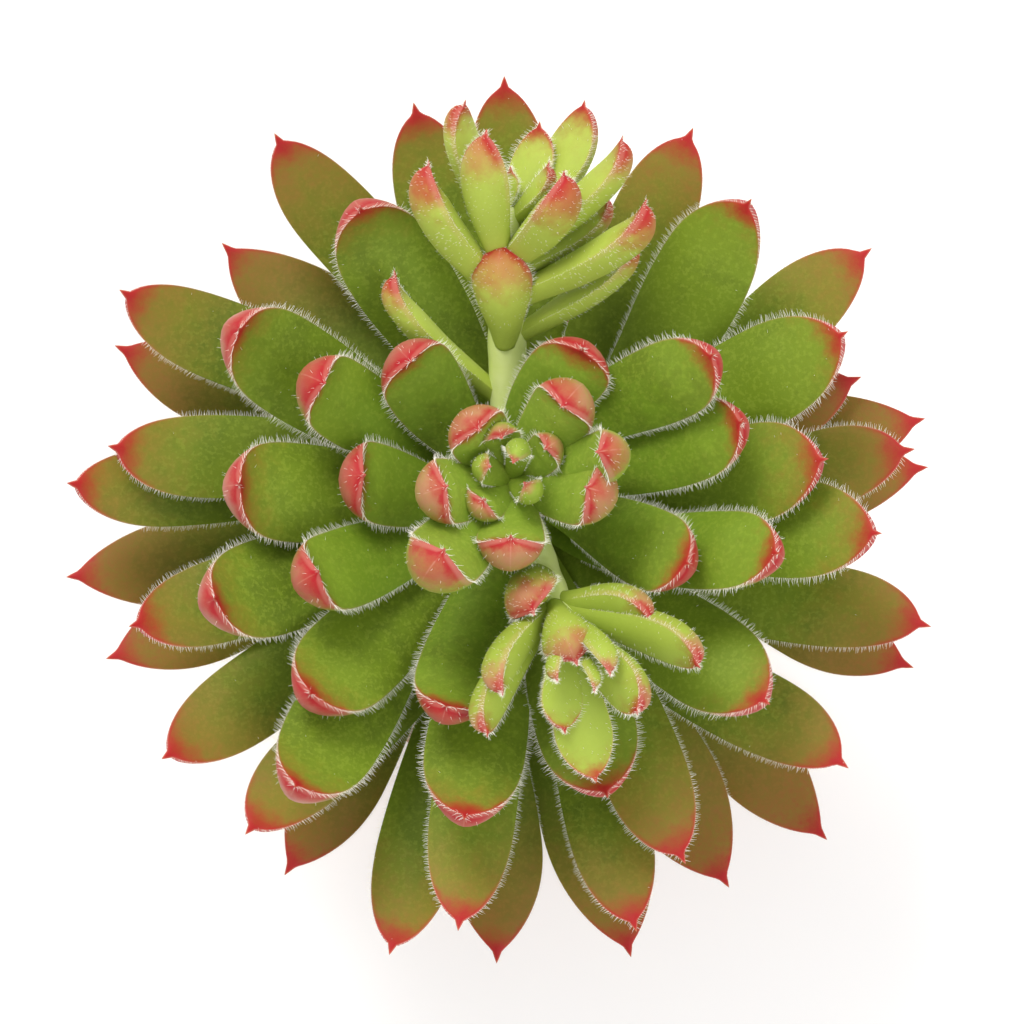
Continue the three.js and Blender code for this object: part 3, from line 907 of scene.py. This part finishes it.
class SUCCULENT_OT_offsets(bpy.types.Operator):
    """Builds the two offsets: a side stem each, with a small cupped rosette of downy leaves"""

    bl_idname = "succulent.offsets"
    bl_label = "Offsets"

    def execute(self, context):
        materials = {
            "upper_offset": leaf_material(
                "Upper offset leaf", (26, 1.5), 4.0, 0.3, youth=1.0, sprout=0.3
            ),
            "lower_offset": leaf_material(
                "Lower offset leaf", (18, 1.1), 2.7, 0.3, youth=0.45, sprout=0.85
            ),
        }
        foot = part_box("pot")[1].z / MM + LEAFY_FOOT_ABOVE_RIM
        for name, offset in OFFSETS.items():
            rng = random.Random(name)
            around = Matrix.Rotation(math.radians(offset["angle"]), 4, "Z")
            spine, head, axis = stalk_spine(offset, foot)
            stalk = build_stalk(
                name + "_stalk", spine.moved(around), STALK_RADIUS * MM, stalk_material()
            )
            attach(stalk, BODY)
            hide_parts(name)
            lean = Matrix.Rotation(math.radians(offset["lean"]), 4, "Y")
            placed = around @ Matrix.Translation(head * MM) @ lean
            hairs = []
            for i, (angle, along, length, width, pitch) in enumerate(offset["leaves"]):
                form = dict(FORMS["offset_leaf"])
                height = along + OFFSET_LEAF_START
                thickness = width * OFFSET_THICKNESS_SHARE
                leaf_line = drawn_spine(
                    0, height, length, pitch, OFFSET_TURN, width, thickness, OFFSET_BASE_SHARE
                )
                turned = placed @ Matrix.Rotation(math.radians(angle - 90), 4, "Z")
                leaf_line = leaf_line.curled(form["curl"], form["curl_from"]).moved(turned)
                leaf_name = f"{name}_leaf_{i + 1:02d}"
                tint = rng.random()
                leaf = build_leaf(leaf_name, leaf_line, form, materials[name], tint, 60 + i)
                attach(leaf, BODY)
                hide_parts(name)
                hairs.append(leaf_hairs(leaf_line, form, rng))
            fringe = join_hairs(name + "_hairs", hairs)
            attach(fringe, BODY)
        return {"FINISHED"}


def spun(name, profile, steps, material):
    """A closed profile of (radius, height) points in millimetres, spun round the Z axis."""
    bm = bmesh.new()
    verts = [bm.verts.new((r * MM, 0, z * MM)) for r, z in profile]
    edges = [bm.edges.new((a, b)) for a, b in zip(verts, verts[1:])]
    bmesh.ops.spin(
        bm,
        geom=verts + edges,
        cent=(0, 0, 0),
        axis=(0, 0, 1),
        angle=2 * math.pi,
        steps=steps,
        use_merge=True,
    )
    bmesh.ops.remove_doubles(bm, verts=bm.verts, dist=1e-6)
    bmesh.ops.recalc_face_normals(bm, faces=bm.faces)
    for f in bm.faces:
        f.smooth = True
    return new_piece(name, bm, material)


def arc(cx, cz, radius, start, end, steps=5):
    """Points of a profile's rounded edge, angles in degrees."""
    turns = [math.radians(start + (end - start) * i / steps) for i in range(steps + 1)]
    return [(cx + radius * math.cos(t), cz + radius * math.sin(t)) for t in turns]


# The pot's base radius, wall and floor, the height of its rim band and how far that stands out,
# and the radius of its drain holes and their distance from the middle.
POT_BASE = 27.0
POT_WALL = 4.5
POT_FLOOR = 5.0
RIM_BAND = 15.0
RIM_STEP = 2.5
HOLE_RADIUS = 4
HOLES_AT = 13


def clay_material():
    look = bpy.context.scene.succulent_pot
    material, n, shader = new_material("Clay")
    place = n.place()
    height = n.add("ShaderNodeSeparateXYZ")
    n.put(height.inputs[0], place)
    z = height.outputs["Z"]
    patches = n.noise(38, 5, 0.62, vector=place)
    grain = n.noise(900, 4, 0.65, vector=place)
    pores = n.noise(3200, 2, vector=place)
    turning = n.plus(n.times(z, 2600), n.times(patches, 9))
    rings = n.math("SINE", turning)
    tone = n.mix(n.times(patches, 0.8), rgba(look.clay), (0.36, 0.125, 0.06, 1))
    tone = n.mix(n.times(n.fade(grain, 0.3, 0.52), 0.35), tone, (0.62, 0.30, 0.18, 1))
    low = n.fade(n.plus(z, n.times(patches, 0.022)), 0.008, 0.032)
    below_top = n.minus(0.07, n.plus(z, n.times(patches, 0.012)))
    high = n.fade(below_top, -0.004, 0.012)
    ends = n.plus(low, n.times(high, 0.6))
    bloom = n.times(ends, n.fade(grain, 0.38, 0.62))
    tone = n.mix(n.times(bloom, 0.55, clamp=True), tone, rgba(look.bloom))
    n.put(shader["Base Color"], tone)
    n.put(shader["Roughness"], n.plus(0.72, n.times(grain, 0.22)))
    relief = n.plus(n.times(grain, 0.7), n.times(pores, 0.35))
    relief = n.plus(relief, n.times(rings, 0.16))
    n.put(shader["Normal"], bumped(n, relief, 0.25 * MM, 0.6))
    shader["Specular IOR Level"].default_value = 0.25
    return material


class SUCCULENT_OT_pot(bpy.types.Operator):
    """Builds the clay pot with its rolled rim and three drain holes"""

    bl_idname = "succulent.pot"
    bl_label = "Pot"

    def execute(self, context):
        look = context.scene.succulent_pot
        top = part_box("pot")[1].z / MM
        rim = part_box("pot")[1].x / MM

        def outer(height):
            """Radius of the outside below the rim band."""
            return POT_BASE + (rim - RIM_STEP - POT_BASE) / top * height

        band_foot = top - RIM_BAND
        neck = band_foot - RIM_STEP
        profile = [(0, 0.0)]
        profile += arc(POT_BASE - 1.6, 1.6, 1.6, -90, -8)
        profile += [(outer(neck) - 0.3, neck - 0.8), (outer(neck) + 0.2, neck + 0.3)]
        profile += arc(rim - 1.9, band_foot + 1.1, 1.5, -60, 0)
        profile += arc(rim - 1.8, top - 1.8, 1.8, 2, 90)
        profile += arc(rim - RIM_STEP - POT_WALL + 1.9, top - 1.6, 1.6, 90, 180)
        for height in (top * 0.6, POT_FLOOR + 4):
            profile.append((outer(height) - POT_WALL, height))
        profile += arc(outer(POT_FLOOR + 3) - POT_WALL - 3, POT_FLOOR + 3, 3, 0, -90)
        profile.append((0, POT_FLOOR))
        pot = spun("clay_pot", profile, look.steps, clay_material())
        cutter = bmesh.new()
        for i in range(3):
            angle = math.radians(120 * i + 90)
            place = Vector((math.cos(angle), math.sin(angle), 0)) * HOLES_AT * MM
            bmesh.ops.create_cone(
                cutter,
                cap_ends=True,
                segments=32,
                radius1=HOLE_RADIUS * MM,
                radius2=HOLE_RADIUS * MM,
                depth=30 * MM,
                matrix=Matrix.Translation(place),
            )
        drill = bpy.data.objects.new("drill", bpy.data.meshes.new("drill"))
        cutter.to_mesh(drill.data)
        cutter.free()
        context.scene.collection.objects.link(drill)
        holes = pot.modifiers.new("Drain holes", "BOOLEAN")
        holes.object = drill
        holes.operation = "DIFFERENCE"
        holes.solver = "EXACT"
        settled = pot.evaluated_get(context.evaluated_depsgraph_get())
        cut = bpy.data.meshes.new_from_object(settled)
        pot.modifiers.clear()
        pot.data = cut
        bpy.data.objects.remove(drill)
        for polygon in cut.polygons:
            polygon.use_smooth = True
        cut.set_sharp_from_angle(angle=math.radians(35))
        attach(pot, BODY)
        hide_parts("pot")
        return {"FINISHED"}


# The radius of the hole in the soil round the stem, and how far the soil rises towards it.
SOIL_HOLE = 6.2
MOUND = 1.4


def soil_material(name, dark, light):
    material, n, shader = new_material(name)
    place = n.place()
    crumbs = n.noise(750, 5, 0.7, vector=place)
    fibres = n.noise(260, 3, 0.6, vector=place, distortion=1.5)
    n.put(shader["Base Color"], n.mix(n.times(crumbs, fibres), rgba(dark), rgba(light)))
    n.put(shader["Roughness"], n.plus(0.8, n.times(crumbs, 0.18)))
    n.put(shader["Normal"], bumped(n, n.plus(crumbs, fibres), 0.5 * MM, 0.9))
    shader["Specular IOR Level"].default_value = 0.2
    return material


class SUCCULENT_OT_soil(bpy.types.Operator):
    """Builds the potting mix: a crumbly mound with grit and bark scattered on it"""

    bl_idname = "succulent.soil"
    bl_label = "Soil"

    def execute(self, context):
        look = context.scene.succulent_pot
        low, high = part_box("soil")
        radius = high.x / MM
        top, foot = high.z / MM - 1.5, low.z / MM
        stem = SOIL_HOLE
        profile = [(0, foot), (radius * 0.78, foot), (radius, top)]
        rings = 26
        for i in range(1, rings + 1):
            share = i / rings
            profile.append((radius + (stem - radius) * share, top + MOUND * share**1.5))
        profile += [(stem - 0.4, top - 8), (0, top - 8)]
        mix = soil_material("Potting mix", look.soil, (0.20, 0.13, 0.08))
        soil = spun("potting_mix", profile, 144, mix)
        for v in soil.data.vertices:
            x, y, z = v.co
            out = math.hypot(x, y) / MM
            if z / MM > top - 0.5 and stem < out < radius - 0.5:
                lump = noise.fractal(Vector((x, y, 0)) * 260, 0.9, 2.2, 4)
                v.co.z += min(1.2, max(-0.9, lump * 1.0)) * MM * smooth_step((radius - out) / 2.0)
        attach(soil, BODY)
        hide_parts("soil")
        rng = random.Random("grit")
        looks = {
            "perlite": (90, 0.7, 1.5, ((0.62, 0.60, 0.55), (0.80, 0.78, 0.72))),
            "bark_crumbs": (170, 0.8, 2.2, ((0.06, 0.032, 0.016), (0.17, 0.09, 0.045))),
            "grit": (150, 0.5, 1.2, ((0.18, 0.15, 0.12), (0.34, 0.29, 0.24))),
        }
        for name, (count, small, large, colours) in looks.items():
            bm = bmesh.new()
            for _ in range(count):
                out = rng.uniform(stem + 2, radius - 1.6)
                angle = rng.uniform(0, 2 * math.pi)
                size = rng.uniform(small, large) * MM / 2
                share = (radius - out) / (radius - stem)
                height = top + MOUND * share**1.5 + 0.25
                place = Vector((out * math.cos(angle), out * math.sin(angle), height)) * MM
                roll = rng.uniform(0, 6.28)
                axis = Vector([rng.uniform(-1, 1) for _ in range(3)]).normalized()
                long, flat = size * rng.uniform(0.7, 1.5), size * rng.uniform(0.5, 0.9)
                turn = Matrix.Rotation(roll, 4, axis)
                shape = Matrix.Translation(place) @ turn @ Matrix.Diagonal((long, size, flat, 1))
                made = bmesh.ops.create_icosphere(bm, subdivisions=1, radius=1, matrix=shape)
                for v in made["verts"]:
                    v.co += noise.noise_vector(v.co * 1900) * size * 0.35
            finish = soil_material(name.replace("_", " ").capitalize(), *colours)
            piece = new_piece(name, bm, finish)
            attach(piece, BODY)
        return {"FINISHED"}


# The stem keeps its thickness up to the leaves and narrows above, by this radius at its top. Its
# scars are rings with this spacing and depth, and its bark lies this far inside the frame's.
STEM_STRAIGHT = 24
STEM_NARROWED = 2
SCAR_SPACING = 2.6
SCAR_DEPTH = 0.22
BARK_INSIDE = 0.45


class SUCCULENT_OT_stem(bpy.types.Operator):
    """Builds the main stem, ringed with the scars of fallen leaves"""

    bl_idname = "succulent.stem"
    bl_label = "Stem"

    def execute(self, context):
        low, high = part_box("stem")
        foot, top = low.z / MM, high.z / MM
        radius = high.x / MM
        material, n, shader = new_material("Stem bark")
        place = n.place()
        streaks = n.noise(300, 4, 0.6, vector=place)
        flakes = n.noise(1400, 3, vector=place)
        n.put(shader["Base Color"], n.mix(streaks, (0.20, 0.17, 0.06, 1), (0.34, 0.24, 0.13, 1)))
        n.put(shader["Roughness"], n.plus(0.65, n.times(flakes, 0.25)))
        n.put(shader["Normal"], bumped(n, n.plus(streaks, flakes), 0.35 * MM, 0.8))
        rings = 90
        tall = top - foot
        profile = [(0, foot)]
        for i in range(rings + 1):
            height = i / rings * tall
            narrow = STEM_NARROWED * smooth_step((height - STEM_STRAIGHT) / (tall - STEM_STRAIGHT))
            scar = SCAR_DEPTH * math.cos(height * 2 * math.pi / SCAR_SPACING)
            profile.append((radius - BARK_INSIDE - narrow + scar, foot + height))
        profile.append((0, top))
        stem = spun("scarred_stem", profile, 48, material)
        for v in stem.data.vertices:
            v.co.xy *= 1 + 0.05 * noise.noise(v.co * 300)
        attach(stem, BODY)
        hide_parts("stem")
        return {"FINISHED"}


# ---- Stage ---------------------------------------------------------------------------------------


# The camera looks down at the crown from this elevation and distance, and sees this width there.
# It is moved down a little so that the rosette sits in the middle.
CROWN_HEIGHT = 110
CAMERA_ELEVATION = 83
CAMERA_DISTANCE = 520
CAMERA_SEES = 143.4
CAMERA_LOWERED = 4.1
SENSOR_WIDTH = 36


def area_light(name, place, target, size, power, tone):
    data = bpy.data.lights.new(name, "AREA")
    data.shape = "DISK"
    data.size = size
    data.energy = power
    data.color = tone
    light = bpy.data.objects.new(name, data)
    light.location = place
    light.rotation_euler = (Vector(target) - Vector(place)).to_track_quat("-Z", "Y").to_euler()
    bpy.context.scene.collection.objects.link(light)
    return light


class SUCCULENT_OT_stage(bpy.types.Operator):
    """Lays the pale floor, hangs the lights and sets the camera above the rosette"""

    bl_idname = "succulent.stage"
    bl_label = "Floor, lights and camera"

    def execute(self, context):
        scene = context.scene
        look = scene.succulent_stage
        bm = bmesh.new()
        bmesh.ops.create_grid(bm, x_segments=2, y_segments=2, size=3)
        material, _, shader = new_material("Floor")
        shader["Base Color"].default_value = rgba(look.floor)
        shader["Roughness"].default_value = 0.9
        floor = new_piece("floor", bm, material)

        world = bpy.data.worlds.new("Studio")
        world.use_nodes = True
        background = world.node_tree.nodes["Background"]
        background.inputs["Color"].default_value = (1.0, 1.0, 1.0, 1)
        background.inputs["Strength"].default_value = look.sky
        scene.world = world
        middle = (0, 0, 0.1)
        area_light("key", (-0.25, 0.55, 0.85), middle, 0.45, look.key, (1.0, 0.98, 0.94))
        area_light("fill", (0.45, -0.35, 0.9), middle, 0.7, look.fill, (0.97, 0.98, 1.0))

        crown = Vector((0, 0, CROWN_HEIGHT * MM))
        elevation = math.radians(CAMERA_ELEVATION)
        sight = Vector((0, math.cos(elevation), -math.sin(elevation)))
        above = Vector((0, math.sin(elevation), math.cos(elevation)))
        data = bpy.data.cameras.new("camera")
        data.sensor_width = SENSOR_WIDTH
        data.lens = SENSOR_WIDTH * CAMERA_DISTANCE / CAMERA_SEES
        data.clip_start = 0.01
        camera = bpy.data.objects.new("camera", data)
        camera.location = crown - sight * CAMERA_DISTANCE * MM - above * CAMERA_LOWERED * MM
        camera.rotation_euler = sight.to_track_quat("-Z", "Y").to_euler()
        scene.collection.objects.link(camera)
        scene.camera = camera
        scene.view_settings.view_transform = "Standard"
        return {"FINISHED"}


# ---- Panel and registration ----------------------------------------------------------------------


class SUCCULENT_PT_panel(bpy.types.Panel):
    """Lists the settings and the pieces"""

    bl_idname = "SUCCULENT_PT_panel"
    bl_label = "Succulent"
    bl_space_type = "VIEW_3D"
    bl_region_type = "UI"
    bl_category = "Succulent"

    def draw(self, context):
        for settings in SETTINGS:
            group = getattr(context.scene, settings)
            box = self.layout.box()
            for name in group.__annotations__:
                box.prop(group, name)
        for piece in PIECES:
            self.layout.operator(piece.bl_idname)


SETTINGS = {
    "succulent_leaf": SucculentLeafSettings,
    "succulent_hair": SucculentHairSettings,
    "succulent_pot": SucculentPotSettings,
    "succulent_stage": SucculentStageSettings,
}
PIECES = (
    SUCCULENT_OT_leaves,
    SUCCULENT_OT_heart,
    SUCCULENT_OT_offsets,
    SUCCULENT_OT_stem,
    SUCCULENT_OT_soil,
    SUCCULENT_OT_pot,
    SUCCULENT_OT_stage,
)


def register():
    for name, group in SETTINGS.items():
        bpy.utils.register_class(group)
        setattr(bpy.types.Scene, name, PointerProperty(type=group))
    for piece in (*PIECES, SUCCULENT_PT_panel):
        bpy.utils.register_class(piece)


def unregister():
    for piece in reversed((*PIECES, SUCCULENT_PT_panel)):
        bpy.utils.unregister_class(piece)
    for name, group in SETTINGS.items():
        delattr(bpy.types.Scene, name)
        bpy.utils.unregister_class(group)


def main():
    register()
    for piece in PIECES:
        group, operator = piece.bl_idname.split(".")
        getattr(getattr(bpy.ops, group), operator)()


if __name__ == "__main__":
    main()
